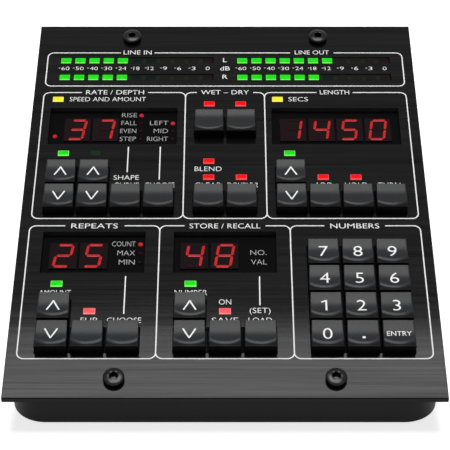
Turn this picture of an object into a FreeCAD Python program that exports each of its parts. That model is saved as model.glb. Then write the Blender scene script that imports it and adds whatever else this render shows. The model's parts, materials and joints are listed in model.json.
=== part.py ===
import FreeCAD, Part
import math
import os

# Desktop digital delay unit: a tilted black metal panel with push keys, level meters and
# seven-segment displays, screwed down on a moulded plastic base.
# All sizes are in millimetres, all angles in degrees.
# Panel coordinates are x to the right, s up the slope from the panel's front edge and
# n square to the panel, with n = 0 on its top face.

# Number of flats on small rounds inside the unit, on hexagons and on the caps' lips
small_round_sides = 8
hexagon_sides = 6
lip_flats = 5

# Panel sheet and its slope
panel_thickness = 2.0
panel_edge_chamfer = 0.25
panel_tilt = 13.5
front_rim_height = 10.6

# Keys
key_pitch = 11.1
key_web = 0.5
key_clearance = 0.13
key_front_gap = 0.47
front_row_gap = 1.8
key_travel = 0.8
cap_back_taper = 0.2
cap_draft = 0.07
cap_back_height = 4.15
cap_low_height = 3.6
cap_low_place = 1.5
cap_wall = 1.1
cap_roof_thickness = 1.3
cap_lip_radius = 9.4
cap_ledge_depth = 0.15
cap_skirt_gap = 0.8
plunger_width = 3.0
plunger_clearance = 0.05
plunger_in_switch = 1.6
plunger_end_gap = 0.2
switch_width = 6.0
switch_height = 3.5

# Printed sections of the panel, from the front edge to the rear edge
side_margin = 3.6
section_padding = 5.87
front_band = 14.7
section_gap = 3.2
key_row_offset = 7.2
upper_key_inset = 8.75
lower_key_inset = 10.25
lower_window_lead = 3.35
upper_window_lead = 2.95
lower_title_margin = 2.45
upper_title_margin = 7.6
meter_section_length = 17.2
header_band = 14.6
centre_top_setback = 0.6

# Indicator lamps
lamp_width = 3.75
lamp_length = 2.45
lamp_clearance = 0.06
lamp_behind_key = 5.95
stacked_lamp_step = 7.4
title_lamp_lead = 4.3
lamp_rise = 0.1
left_title_lamp_inset = 5.2
right_title_lamp_inset = 4.55

# Display windows and the black masks under them
upper_window_length = 17.8
lower_window_length = 17.45
upper_window_width = 44.7
lower_left_window_width = 33.7
lower_middle_window_width = 33.6
upper_left_window_inset = 2.9
upper_right_window_inset = 3.3
lower_left_window_inset = 4.5
window_margin = 1.0
mask_thickness = 0.6

# Seven-segment modules
digit_pitch = 9.87
digit_width = 9.1
digit_length = 10.9
digit_face_depth = 1.5
digit_clearance = 0.1
digit_setback = 0.4
first_digit_upper_left = 9.8
first_digit_upper_right = 7.5
first_digit_lower_left = 7.0
first_digit_lower_middle = 6.8
figure_height = 9.9
figure_width = 5.8
figure_slant = 8.0
bar_stroke = 0.9
bar_gap = 0.2
bar_thickness = 0.1

# Dot lamps in the windows
dot_radius = 0.75
dot_clearance = 0.08
dot_rise = 0.2
dot_step = 3.87
upper_dot_lead = 7.1
lower_dot_lead = 4.9
first_dot_inset = 32.0
second_dot_inset = 43.1
point_dot_inset = 2.1
point_dot_drop = 3.1

# Level meters
meter_bar_count = 11
meter_bar_width = 3.6
meter_bar_length = 2.7
meter_bar_depth = 0.3
meter_bar_pitch = 5.13
meter_first_bar = 6.25
meter_front_row = 4.9
meter_rear_row = 13.55
meter_slot_edge = 0.3
meter_body_margin = 0.7
meter_body_gap = 0.1

# Board behind the panel
board_depth = 8.5
board_thickness = 1.6
board_side_gap = 1.2
board_front_margin = 12.5
board_rear_margin = 13.0
board_corner_radius = 2.0
tongue_width = 24.0
tongue_rear_margin = 6.6
standoff_radius = 2.2
standoff_side_inset = 3.4
standoff_front_inset = 4.0
standoff_clear = 0.2
board_screw_radius = 1.2
board_screw_clearance = 0.1
board_hole_radius = 1.4
board_screw_head_radius = 2.25
board_screw_head_height = 1.7
board_screw_grip = 3.6

# Base housing
base_inset = 1.95
base_wall = 2.2
base_floor = 2.2
base_corner_radius = 10.4
base_bottom_chamfer = 1.0
rib_thickness = 1.5
rib_height = 3.0
rib_spacing = 34.0
boss_radius = 4.4
boss_length = 12.0
gusset_thickness = 1.6

# Panel screws and their threaded inserts
screw_x = 34.0
screw_edge_inset = 7.0
screw_radius = 1.95
screw_hole_clearance = 0.3
screw_length = 7.4
screw_head_radius = 3.6
screw_head_height = 2.2
screw_crown_radius = 2.3
hex_width = 2.5
hex_depth = 1.3
insert_radius = 2.8
insert_length = 6.0
insert_clearance = 0.05
insert_pocket_extra = 1.8

# Feet
foot_radius = 5.5
foot_stand = 1.5
foot_inset = 14.0

# Socket and chips under the board
socket_width = 7.5
socket_height = 2.6
socket_length = 5.4
socket_overhang = 0.7
socket_wall = 0.35
blade_thickness = 0.7
blade_length = 3.6
plug_opening_width = 12.4
plug_opening_height = 8.6
processor_width = 12.0
processor_thickness = 1.4
driver_width = 7.6
driver_length = 10.4
driver_thickness = 2.3

# Sizes and places that follow
tilt = math.radians(panel_tilt)
panel_width = 2 * side_margin + 10 * key_pitch + 3 * section_padding
half_width = panel_width / 2
left_side = side_margin - half_width
right_side = -left_side
upper_side_section = 4 * key_pitch + section_padding
lamp_offset = key_pitch / 2 + lamp_behind_key
up_key_offset = key_row_offset + key_pitch
lamps_end = up_key_offset + lamp_offset + lamp_length / 2
lower_window_offset = lamps_end + lower_window_lead
upper_window_offset = lamps_end + upper_window_lead
lower_section_length = lower_window_offset + lower_window_length + lower_title_margin
upper_section_length = upper_window_offset + upper_window_length + upper_title_margin
lower_section_front = front_band
upper_section_front = lower_section_front + lower_section_length + section_gap
meter_section_front = upper_section_front + upper_section_length + section_gap
panel_length = meter_section_front + meter_section_length + header_band
lower_window_middle = lower_section_front + lower_window_offset + lower_window_length / 2
upper_window_middle = upper_section_front + upper_window_offset + upper_window_length / 2

panel_underside = -panel_thickness
mask_underside = panel_underside - mask_thickness
board_top = -board_depth
board_underside = board_top - board_thickness
switch_top = board_top + switch_height
cap_skirt = switch_top + key_travel + cap_skirt_gap
cap_ledge = cap_low_height - cap_ledge_depth
cap_roof = cap_ledge - cap_roof_thickness
key_opening = key_pitch - key_web
cap_width = key_opening - 2 * key_clearance
cap_length = key_opening - key_front_gap - key_clearance

edge_overhang = panel_edge_chamfer * math.sin(tilt)
panel_depth = (panel_length * math.cos(tilt) + panel_thickness * math.sin(tilt)
               - edge_overhang)
panel_edge_height = foot_stand + front_rim_height + panel_thickness * math.cos(tilt)
base_half_width = half_width - base_inset
base_half_depth = panel_depth / 2 - base_inset
board_half_width = base_half_width - base_wall - board_side_gap
board_rear = panel_length - board_rear_margin
tongue_rear = panel_length - tongue_rear_margin
well_clear = panel_length


def at(x, s, n):
    return FreeCAD.Vector(x, s, n)


def tilted(shape):
    """Turn a shape from panel coordinates to the unit's own frame."""
    turn = FreeCAD.Rotation(at(1, 0, 0), panel_tilt)
    front_edge = at(0, -panel_depth / 2 - edge_overhang, panel_edge_height)
    return shape.transformed(FreeCAD.Placement(front_edge, turn).toMatrix(), True)


def level_y(s, n):
    """Place along the unit's own depth of a point in panel coordinates."""
    return s * math.cos(tilt) - n * math.sin(tilt) - panel_depth / 2 - edge_overhang


def block(x, s, width, length, low, high):
    """Box centred on (x, s), between two heights."""
    corner = at(x - width / 2, s - length / 2, low)
    return Part.makeBox(width, length, high - low, corner)


def disc(x, s, radius, low, high):
    return Part.makeCylinder(radius, high - low, at(x, s, low))


def many_sided(x, s, radius, low, high, sides=small_round_sides):
    """Upright prism with a few flats, its corners on the radius."""
    turns = [2 * math.pi * side / sides for side in range(sides)]
    corners = [(x + radius * math.cos(turn), s + radius * math.sin(turn)) for turn in turns]
    return outline_face(corners, low).extrude(at(0, 0, high - low))


def many_sided_hole(x, s, radius, low, high, sides=small_round_sides):
    """The same for a hole, with its flats on the radius."""
    return many_sided(x, s, radius / math.cos(math.pi / sides), low, high, sides)


def outline_face(corners, height):
    loop = [at(x, s, height) for x, s in corners]
    return Part.Face(Part.makePolygon(loop + loop[:1]))


def rounded_block(x, s, width, length, radius, low, high):
    """Box between two heights with its four upright edges rounded."""
    body = block(x, s, width, length, low, high)
    upright = [edge for edge in body.Edges if edge.BoundBox.ZLength > (high - low) / 2]
    return body.makeFillet(radius, upright)


def save(name, solids):
    """Write one sub-part, which may be a group of like separate solids."""
    shape = solids[0] if len(solids) == 1 else Part.makeCompound(solids)
    shape.exportStep(os.path.join("parts", name + ".step"))


def save_tilted(name, solids):
    save(name, [tilted(solid) for solid in solids])


# Key places: name, x, s and whether the key is the front one of its column

def key_row(name, first_x, s, count, front_most):
    return [(f"{name}_{number + 1}", first_x + number * key_pitch, s, front_most)
            for number in range(count)]


def keypad(first_x, front_s):
    rows = [["0", "point", "enter"], ["1", "2", "3"], ["4", "5", "6"], ["7", "8", "9"]]
    return [("keypad_key_" + name, first_x + column * key_pitch,
             front_s + row * key_pitch, row == 0)
            for row, names in enumerate(rows) for column, name in enumerate(names)]


upper_row = upper_section_front + key_row_offset
upper_up_row = upper_section_front + up_key_offset
lower_row = lower_section_front + key_row_offset
lower_up_row = lower_section_front + up_key_offset
upper_left_column = left_side + upper_key_inset
upper_right_column = right_side - upper_key_inset - 3 * key_pitch
lower_left_column = left_side + lower_key_inset
keypad_column = right_side - lower_key_inset - 2 * key_pitch

keys = (key_row("upper_left_key", upper_left_column, upper_row, 4, True)
        + key_row("upper_left_up_key", upper_left_column, upper_up_row, 2, False)
        + key_row("centre_key", -key_pitch / 2, upper_row, 2, True)
        + key_row("centre_top_key", -key_pitch / 2,
                  upper_window_middle - centre_top_setback, 2, True)
        + key_row("upper_right_key", upper_right_column, upper_row, 4, True)
        + key_row("upper_right_up_key", upper_right_column, upper_up_row, 1, False)
        + key_row("lower_left_key", lower_left_column, lower_row, 3, True)
        + key_row("lower_left_up_key", lower_left_column, lower_up_row, 1, False)
        + key_row("lower_middle_key", -key_pitch, lower_row, 3, True)
        + key_row("lower_middle_up_key", -key_pitch, lower_up_row, 1, False)
        + keypad(keypad_column, lower_row))


# Lamp places: each lamp lies behind its key or beside a section's title

def lamps_behind(names):
    return [(x, s + lamp_offset) for name, x, s, front_most in keys if name in names]


green_lamps = lamps_behind(["upper_left_up_key_1", "upper_left_up_key_2",
                            "upper_right_up_key_1", "lower_left_up_key_1",
                            "lower_middle_up_key_1"])
stacked_lamps = [(x, s + stacked_lamp_step) for x, s in lamps_behind(["centre_key_1"])]
red_lamps = stacked_lamps + lamps_behind(["centre_top_key_1", "centre_top_key_2",
                                          "centre_key_1", "centre_key_2",
                                          "upper_right_key_2", "upper_right_key_3",
                                          "lower_left_key_2", "lower_middle_key_2"])
title_lamp_s = upper_window_middle + upper_window_length / 2 + title_lamp_lead
right_section_left = right_side - upper_side_section
yellow_lamps = [(left_side + left_title_lamp_inset, title_lamp_s),
                (right_section_left + right_title_lamp_inset, title_lamp_s)]


# Display windows, with the digits and dot lamps that show in each

def window(left, width, middle, length, first_digit, digit_count):
    digits = [(left + first_digit + number * digit_pitch, middle - digit_setback)
              for number in range(digit_count)]
    return {"x": left + width / 2, "width": width, "left": left,
            "s": middle, "length": length, "digits": digits}


windows = {
    "upper_left": window(left_side + upper_left_window_inset, upper_window_width,
                         upper_window_middle, upper_window_length,
                         first_digit_upper_left, 2),
    "upper_right": window(right_side - upper_right_window_inset - upper_window_width,
                          upper_window_width, upper_window_middle, upper_window_length,
                          first_digit_upper_right, 4),
    "lower_left": window(left_side + lower_left_window_inset, lower_left_window_width,
                         lower_window_middle, lower_window_length,
                         first_digit_lower_left, 2),
    "lower_middle": window(-lower_middle_window_width / 2, lower_middle_window_width,
                           lower_window_middle, lower_window_length,
                           first_digit_lower_middle, 2),
}


def dot_column(name, inset, lead, count):
    """Column of dot lamps, from its rear one, in the window's own coordinates."""
    return [(windows[name]["left"] + inset, windows[name]["s"] + lead - number * dot_step)
            for number in range(count)]


dots = {"upper_left": (dot_column("upper_left", first_dot_inset, upper_dot_lead, 4)
                       + dot_column("upper_left", second_dot_inset,
                                    upper_dot_lead - dot_step, 3)
                       + dot_column("upper_left", point_dot_inset, -point_dot_drop, 1)),
        "upper_right": [],
        "lower_left": dot_column("lower_left", first_dot_inset, lower_dot_lead, 3),
        "lower_middle": []}


# Meter rows: the middle of each bar row, two rows to each of the two meters
meter_run = (meter_bar_count - 1) * meter_bar_pitch
meter_middle = meter_first_bar + meter_run / 2
meter_rows = [(side * meter_middle, meter_section_front + row)
              for side in (-1, 1) for row in (meter_front_row, meter_rear_row)]

# Fastener places
screw_places = [(x, s) for x in (-screw_x, screw_x)
                for s in (screw_edge_inset, panel_length - screw_edge_inset)]
divider_x = right_side / 3
standoff_x = board_half_width - standoff_side_inset
standoff_rows = [(divider_x, board_front_margin + standoff_front_inset),
                 (standoff_x, upper_section_front - standoff_radius - standoff_clear),
                 (standoff_x, meter_section_front - section_gap / 2)]
standoff_places = [(side * x, s) for side in (-1, 1) for x, s in standoff_rows]
foot_places = [(side * (base_half_width - foot_inset), end * (base_half_depth - foot_inset))
               for side in (-1, 1) for end in (-1, 1)]


# Panel

def key_opening_block(x, s, front_most):
    """Opening round a key, longer in front of the front key of a column."""
    rear = s + cap_length / 2 + key_clearance
    front = s - cap_length / 2 - (front_row_gap if front_most else key_front_gap)
    return block(x, (front + rear) / 2, key_opening, rear - front, -well_clear, well_clear)


def panel_cutouts():
    lamp_hole_width = lamp_width + 2 * lamp_clearance
    lamp_hole_length = lamp_length + 2 * lamp_clearance
    slot_width = meter_run + meter_bar_width + 2 * meter_slot_edge
    slot_length = meter_bar_length + 2 * meter_slot_edge
    hole_radius = screw_radius + screw_hole_clearance
    cutouts = [key_opening_block(x, s, front_most) for name, x, s, front_most in keys]
    for x, s in green_lamps + red_lamps + yellow_lamps:
        cutouts.append(block(x, s, lamp_hole_width, lamp_hole_length, -well_clear, well_clear))
    for pane in windows.values():
        cutouts.append(block(pane["x"], pane["s"], pane["width"], pane["length"],
                             -well_clear, well_clear))
    for x, s in meter_rows:
        cutouts.append(block(x, s, slot_width, slot_length, -well_clear, well_clear))
    for x, s in screw_places:
        cutouts.append(many_sided_hole(x, s, hole_radius, -well_clear, well_clear))
    return cutouts


def faceplate():
    """Flat metal sheet with a fine bevel round its top edge."""
    sheet = block(0, panel_length / 2, panel_width, panel_length, panel_underside, 0)
    top_edges = [edge for edge in sheet.Edges if edge.BoundBox.ZMin > panel_underside / 2]
    return sheet.makeChamfer(panel_edge_chamfer, top_edges).cut(panel_cutouts())


def window_mask(name, pane):
    """Black mask behind a window, with holes for its digits and dot lamps."""
    mask = block(pane["x"], pane["s"], pane["width"] + 2 * window_margin,
                 pane["length"] + 2 * window_margin, mask_underside, panel_underside)
    holes = [block(x, s, digit_width + 2 * digit_clearance, digit_length + 2 * digit_clearance,
                   mask_underside, panel_underside) for x, s in pane["digits"]]
    holes += [many_sided_hole(x, s, dot_radius + dot_clearance,
                              mask_underside, panel_underside) for x, s in dots[name]]
    return mask.cut(holes)


# Keys

def cap_outline(inset, height):
    """Cap seen from above: straight front and back, a little narrower at the back."""
    front_half = cap_width / 2 - inset
    back_half = front_half - cap_back_taper
    half_length = cap_length / 2 - inset
    corners = [at(-front_half, -half_length, height), at(front_half, -half_length, height),
               at(back_half, half_length, height), at(-back_half, half_length, height)]
    return Part.makePolygon(corners + corners[:1])


def scoop_radius():
    """Radius of the hollow in the cap's top, from its back edge and its lowest line."""
    run = cap_length / 2 + cap_low_place
    rise = cap_back_height - cap_low_height
    return (run * run + rise * rise) / (2 * rise)


def scoop():
    radius = scoop_radius()
    start = at(-cap_width, -cap_low_place, cap_low_height + radius)
    return Part.makeCylinder(radius, 2 * cap_width, start, at(1, 0, 0))


def corner_ledges():
    """What lies outside the curved front lip, down to the ledges at the front corners."""
    arc_middle = cap_lip_radius - cap_length / 2
    half_turn = math.asin(cap_width / 2 / cap_lip_radius)
    turns = [half_turn * (2 * flat / lip_flats - 1) for flat in range(lip_flats + 1)]
    lip = [(cap_lip_radius * math.sin(turn), arc_middle - cap_lip_radius * math.cos(turn))
           for turn in turns]
    outside = [(cap_width, -cap_length), (-cap_width, -cap_length)]
    rear_corners = [(-cap_width, lip[0][1]), (cap_width, lip[-1][1])]
    outline = rear_corners[:1] + lip + rear_corners[1:] + outside
    return outline_face(outline, cap_ledge).extrude(at(0, 0, cap_back_height - cap_ledge))


def key_cap():
    """Scooped cap with a curved front lip, hollow underneath."""
    cavity_width = cap_width - 2 * cap_back_taper - 2 * cap_wall
    cavity_length = cap_length - 2 * cap_wall
    body = Part.makeLoft([cap_outline(0, cap_skirt), cap_outline(cap_draft, cap_back_height)],
                         True, True)
    return body.cut([scoop(), corner_ledges(),
                     block(0, 0, cavity_width, cavity_length, cap_skirt, cap_roof)])


def key_plunger():
    """Square plunger that carries the cap's roof and works the switch."""
    return block(0, 0, plunger_width, plunger_width,
                 switch_top - plunger_in_switch, cap_roof)


def key_switch(x, s):
    body = block(x, s, switch_width, switch_width, board_top, switch_top)
    well_width = plunger_width + 2 * plunger_clearance
    well_floor = switch_top - plunger_in_switch - key_travel - plunger_end_gap
    return body.cut(block(x, s, well_width, well_width, well_floor, switch_top))


# Seven-segment digits

def bar_outline(x, s, start, end):
    """Six-sided bar from one node of the figure to the next, leaning with the figure."""
    half = bar_stroke / 2
    length = math.hypot(end[0] - start[0], end[1] - start[1])
    along = ((end[0] - start[0]) / length, (end[1] - start[1]) / length)
    across = (-along[1], along[0])
    steps = [(bar_gap, 0), (bar_gap + half, half), (length - bar_gap - half, half),
             (length - bar_gap, 0), (length - bar_gap - half, -half), (bar_gap + half, -half)]
    lean = math.tan(math.radians(figure_slant))
    corners = []
    for run, side in steps:
        down_x = start[0] + along[0] * run + across[0] * side
        down_s = start[1] + along[1] * run + across[1] * side
        corners.append((x + down_x + lean * down_s, s + down_s))
    return corners


def digit_bars(x, s):
    """The seven thin bars of one figure, on the module's face."""
    right = (figure_width - bar_stroke) / 2
    top = (figure_height - bar_stroke) / 2
    nodes = {"top left": (-right, top), "top right": (right, top),
             "middle left": (-right, 0), "middle right": (right, 0),
             "bottom left": (-right, -top), "bottom right": (right, -top)}
    spans = [("top left", "top right"), ("middle left", "middle right"),
             ("bottom left", "bottom right"), ("middle left", "top left"),
             ("middle right", "top right"), ("bottom left", "middle left"),
             ("bottom right", "middle right")]
    return [outline_face(bar_outline(x, s, nodes[start], nodes[end]), -digit_face_depth)
            .extrude(at(0, 0, bar_thickness)) for start, end in spans]


def digit_module(x, s):
    """Housing of one digit, from the board up to its face in the window."""
    return block(x, s, digit_width, digit_length, board_top, -digit_face_depth)


# Lamps and meters

def lamp(x, s):
    return block(x, s, lamp_width, lamp_length, board_top, lamp_rise)


def dot_lamp(x, s):
    return many_sided(x, s, dot_radius, board_top, panel_underside + dot_rise)


def meter_body(x, s):
    """Housing of one row of meter bars, just under the panel."""
    return block(x, s, meter_run + meter_bar_width + 2 * meter_body_margin,
                 meter_bar_length + 2 * meter_body_margin,
                 board_top, panel_underside - meter_body_gap)


def meter_bars(x, s):
    first = x - meter_run / 2
    return [block(first + number * meter_bar_pitch, s, meter_bar_width, meter_bar_length,
                  panel_underside - meter_body_gap, -meter_bar_depth)
            for number in range(meter_bar_count)]


# Board and what it carries underneath

def main_board():
    """Board on six standoffs, with a tongue at the rear for the socket."""
    sheet = rounded_block(0, (board_front_margin + board_rear) / 2, 2 * board_half_width,
                          board_rear - board_front_margin, board_corner_radius,
                          board_underside, board_top)
    tongue_front = board_rear - board_corner_radius
    tongue = block(0, (tongue_front + tongue_rear) / 2, tongue_width,
                   tongue_rear - tongue_front, board_underside, board_top)
    holes = [many_sided_hole(x, s, board_hole_radius, board_underside, board_top)
             for x, s in standoff_places]
    return sheet.fuse(tongue).removeSplitter().cut(holes)


def standoff(x, s):
    """Hexagonal threaded standoff between the panel and the board."""
    post = many_sided(x, s, standoff_radius, board_top, panel_underside, hexagon_sides)
    thread = board_screw_radius + board_screw_clearance
    hole_end = board_top + board_screw_grip + board_screw_clearance
    return post.cut(many_sided_hole(x, s, thread, board_top, hole_end, hexagon_sides))


def board_screw(x, s):
    head = many_sided(x, s, board_screw_head_radius,
                      board_underside - board_screw_head_height, board_underside,
                      hexagon_sides)
    shank = many_sided(x, s, board_screw_radius, board_underside,
                       board_top + board_screw_grip, hexagon_sides)
    return head.fuse(shank)


def socket_middle():
    return board_underside - socket_height / 2


def data_socket():
    """Small flat socket on the tongue's underside, open to the rear, with its blade."""
    mouth = tongue_rear + socket_overhang
    middle = mouth - socket_length / 2
    shell = block(0, middle, socket_width, socket_length,
                  board_underside - socket_height, board_underside)
    hollow = block(0, middle + socket_wall, socket_width - 2 * socket_wall, socket_length,
                   board_underside - socket_height + socket_wall,
                   board_underside - socket_wall)
    blade = block(0, mouth - socket_length + socket_wall + blade_length / 2,
                  socket_width / 2, blade_length,
                  socket_middle() - blade_thickness / 2, socket_middle() + blade_thickness / 2)
    return shell.cut(hollow).fuse(blade).removeSplitter()


def chip(x, s, width, length, thickness):
    return block(x, s, width, length, board_underside - thickness, board_underside)


# Fasteners of the panel

def panel_screw(x, s):
    """Button-head screw with a hexagon socket."""
    head = Part.makeCone(screw_head_radius, screw_crown_radius, screw_head_height,
                         at(x, s, 0))
    shank = many_sided(x, s, screw_radius, -screw_length, 0)
    hexagon = many_sided_hole(x, s, hex_width / 2, screw_head_height - hex_depth,
                              screw_head_height, hexagon_sides)
    return head.fuse(shank).cut(hexagon)


def threaded_insert(x, s):
    end = panel_underside - insert_length
    ring = many_sided(x, s, insert_radius, end, panel_underside)
    return ring.cut(many_sided_hole(x, s, screw_radius + insert_clearance,
                                    end, panel_underside))


# Base housing

def base_outside():
    """Outer form of the base: upright walls, round corners and a bevelled bottom edge."""
    body = rounded_block(0, 0, 2 * base_half_width, 2 * base_half_depth,
                         base_corner_radius, foot_stand, well_clear)
    bottom = [edge for edge in body.Edges if edge.BoundBox.ZMax < foot_stand + base_floor]
    return body.makeChamfer(base_bottom_chamfer, bottom)


def base_inside():
    return rounded_block(0, 0, 2 * (base_half_width - base_wall),
                         2 * (base_half_depth - base_wall),
                         base_corner_radius - base_wall, foot_stand + base_floor, well_clear)


def screw_bosses():
    """Leaning bosses for the inserts, each with a gusset to the nearest wall.

    The front pair stands on the floor, the rear pair hangs from the rear wall.
    """
    bosses = []
    for x, s in screw_places:
        at_front = s < panel_length / 2
        length = well_clear if at_front else boss_length
        bosses.append(tilted(many_sided(x, s, boss_radius, panel_underside - length, 0)))
        axis_y = level_y(s, panel_underside)
        wall_y = -base_half_depth if at_front else base_half_depth
        bosses.append(block(x, (axis_y + wall_y) / 2, gusset_thickness,
                            abs(wall_y - axis_y), foot_stand, well_clear))
    return bosses


def floor_ribs():
    """Two long ribs over the rear half of the floor, joined by a cross rib."""
    floor = foot_stand + base_floor
    ribs = [block(side * rib_spacing / 2, base_half_depth / 2, rib_thickness,
                  base_half_depth, foot_stand, floor + rib_height) for side in (-1, 1)]
    ribs.append(block(0, 0, 2 * base_half_width, rib_thickness, foot_stand,
                      floor + rib_height))
    return ribs


def plug_opening():
    """Opening through the rear wall in line with the socket."""
    length = well_clear
    opening = block(0, board_rear + length / 2, plug_opening_width, length,
                    socket_middle() - plug_opening_height / 2,
                    socket_middle() + plug_opening_height / 2)
    return tilted(opening)


def base_shell():
    outside = base_outside()
    over_panel = tilted(block(0, panel_length / 2, 2 * panel_width, 2 * panel_length,
                              panel_underside, well_clear))
    pocket_end = panel_underside - insert_length - insert_pocket_extra
    pockets = [tilted(many_sided_hole(x, s, insert_radius + insert_clearance, pocket_end, 0))
               for x, s in screw_places]
    inner_parts = outside.common(Part.makeCompound(screw_bosses() + floor_ribs()))
    shell = outside.cut(base_inside()).fuse(inner_parts.Solids)
    return shell.cut([over_panel, plug_opening()] + pockets).removeSplitter()


def foot(x, y):
    return disc(x, y, foot_radius, 0, foot_stand)


def write_keys():
    cap = key_cap()
    plunger = key_plunger()
    for name, x, s, front_most in keys:
        place = at(x, s, 0)
        save_tilted(name, [cap.translated(place), plunger.translated(place)])


def write_displays():
    for name, pane in windows.items():
        save_tilted("digits_" + name, [digit_module(x, s) for x, s in pane["digits"]])
    save_tilted("digit_bars", [bar for pane in windows.values()
                               for x, s in pane["digits"] for bar in digit_bars(x, s)])
    save_tilted("window_masks", [window_mask(name, pane) for name, pane in windows.items()])
    save_tilted("dot_lamps", [dot_lamp(x, s) for column in dots.values() for x, s in column])


def write_lamps_and_meters():
    save_tilted("green_lamps", [lamp(x, s) for x, s in green_lamps])
    save_tilted("red_lamps", [lamp(x, s) for x, s in red_lamps])
    save_tilted("yellow_lamps", [lamp(x, s) for x, s in yellow_lamps])
    save_tilted("meter_bodies", [meter_body(x, s) for x, s in meter_rows])
    save_tilted("meter_bars", [bar for x, s in meter_rows for bar in meter_bars(x, s)])


def write_board():
    save_tilted("main_board", [main_board()])
    save_tilted("board_standoffs", [standoff(x, s) for x, s in standoff_places])
    save_tilted("board_screws", [board_screw(x, s) for x, s in standoff_places])
    save_tilted("key_switches", [key_switch(x, s) for name, x, s, front_most in keys])
    save_tilted("data_socket", [data_socket()])
    save_tilted("processor_chip", [chip(0, upper_window_middle, processor_width,
                                        processor_width, processor_thickness)])
    save_tilted("driver_chips", [chip(pane["x"], pane["s"] - driver_length, driver_width,
                                      driver_length, driver_thickness)
                                 for pane in windows.values()])


def write_housing():
    save_tilted("faceplate", [faceplate()])
    save_tilted("faceplate_screws", [panel_screw(x, s) for x, s in screw_places])
    save_tilted("threaded_inserts", [threaded_insert(x, s) for x, s in screw_places])
    save("base_shell", [base_shell()])
    save("rubber_feet", [foot(x, y) for x, y in foot_places])


os.makedirs("parts", exist_ok=True)
write_housing()
write_keys()
write_displays()
write_lamps_and_meters()
write_board()
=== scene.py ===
import json
import math

import bmesh
import bpy
from mathutils import Matrix, Vector


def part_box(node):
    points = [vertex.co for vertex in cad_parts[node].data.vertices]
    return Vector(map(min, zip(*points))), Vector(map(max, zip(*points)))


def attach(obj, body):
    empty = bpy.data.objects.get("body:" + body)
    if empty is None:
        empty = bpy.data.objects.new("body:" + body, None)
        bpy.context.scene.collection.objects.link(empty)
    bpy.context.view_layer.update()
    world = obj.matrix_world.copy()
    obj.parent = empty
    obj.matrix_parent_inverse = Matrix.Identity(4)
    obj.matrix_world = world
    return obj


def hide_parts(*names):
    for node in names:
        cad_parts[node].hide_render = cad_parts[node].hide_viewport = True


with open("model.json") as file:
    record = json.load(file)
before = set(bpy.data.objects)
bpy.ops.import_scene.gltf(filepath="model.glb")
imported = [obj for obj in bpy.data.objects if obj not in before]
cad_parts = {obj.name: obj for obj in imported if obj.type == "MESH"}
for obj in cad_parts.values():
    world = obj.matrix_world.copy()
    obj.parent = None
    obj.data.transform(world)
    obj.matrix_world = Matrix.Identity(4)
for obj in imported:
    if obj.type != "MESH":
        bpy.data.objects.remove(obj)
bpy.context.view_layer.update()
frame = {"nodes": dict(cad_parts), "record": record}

# Panel
# The top is one flat sheet of aluminium, cut out for keys, lamps and windows, brushed from
# side to side and anodised black. It is bevelled round its edge and held down by four screws.

millimetre = 0.001
panel_thickness = 2.0
panel_bevel = 0.25
press = Vector(frame["record"]["behaviour"]["joints"][0]["axis"])
tilt = math.atan2(press.y, -press.z)
panel_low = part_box("faceplate")[0]
front_edge = Vector((0, panel_low.y - panel_bevel * millimetre * math.sin(tilt),
                     panel_low.z + panel_thickness * millimetre * math.cos(tilt)))
panel = (Matrix.Translation(front_edge) @ Matrix.Rotation(tilt, 4, "X")
         @ Matrix.Scale(millimetre, 4))
opening_half_width = 5.3
front_row_gap = 1.8
closed_gap = 0.2
edge_reach = 0.05
weld_distance = 1e-7
sharp_angle = math.radians(40)
face_limit = 0.9
wall_limit = 0.7
outer_edge_depth = 0.003
outer_wall = (0.006, 0.006, 0.006)
# Painted light: colour of the forward walls inside the openings, paler than their shade.
painted_light_wall = (0.06, 0.06, 0.06)
color_a, color_b, color_out = 6, 7, 2


def merged_copy(node):
    """Copy of a node's mesh in panel millimetres, with its triangles joined."""
    mesh = bmesh.new()
    mesh.from_mesh(frame["nodes"][node].data)
    bmesh.ops.remove_doubles(mesh, verts=mesh.verts, dist=weld_distance)
    mesh.transform(panel.inverted())
    return mesh


def corners_of(vertices):
    """Lowest and highest corner of some vertices."""
    return (Vector([min(v.co[axis] for v in vertices) for axis in range(3)]),
            Vector([max(v.co[axis] for v in vertices) for axis in range(3)]))


def separate_solids(mesh):
    """Vertices of each solid in a mesh, from front to back and from left to right."""
    left = set(mesh.verts)
    groups = []
    while left:
        group = [left.pop()]
        for vertex in group:
            for edge in vertex.link_edges:
                other = edge.other_vert(vertex)
                if other in left:
                    left.remove(other)
                    group.append(other)
        groups.append(group)
    return sorted(groups, key=lambda group: (round(corners_of(group)[0].y, 1),
                                             corners_of(group)[0].x))


def solids_of(node):
    """Lowest and highest corner of each solid of a node, in panel millimetres."""
    mesh = merged_copy(node)
    found = [corners_of(group) for group in separate_solids(mesh)]
    mesh.free()
    return found


def middle(corners):
    """Place halfway between two corners."""
    return (corners[0] + corners[1]) / 2


def same_place(here, there):
    """True where two places on the panel are less than a millimetre apart."""
    return (Vector(here).xy - Vector(there).xy).length < 1


def new_piece(name, mesh, body, slot, *materials, smooth=False):
    """Object made of a bmesh in panel millimetres, riding on its body."""
    mesh.transform(panel)
    data = bpy.data.meshes.new(name)
    mesh.to_mesh(data)
    mesh.free()
    for material in materials:
        data.materials.append(material)
    if smooth:
        data.shade_smooth()
        data.set_sharp_from_angle(angle=sharp_angle)
    piece = bpy.data.objects.new(name, data)
    bpy.context.scene.collection.objects.link(piece)
    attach(piece, body)
    return piece


def feed(node, values):
    """Give inputs, by number or label, a value each or another node's output.

    A colour is given without its alpha.
    """
    for name, value in values.items():
        socket = node.inputs[name]
        if isinstance(value, bpy.types.NodeSocket):
            node.id_data.links.new(value, socket)
        else:
            socket.default_value = (*value, 1.0) if socket.type == "RGBA" else value


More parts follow.
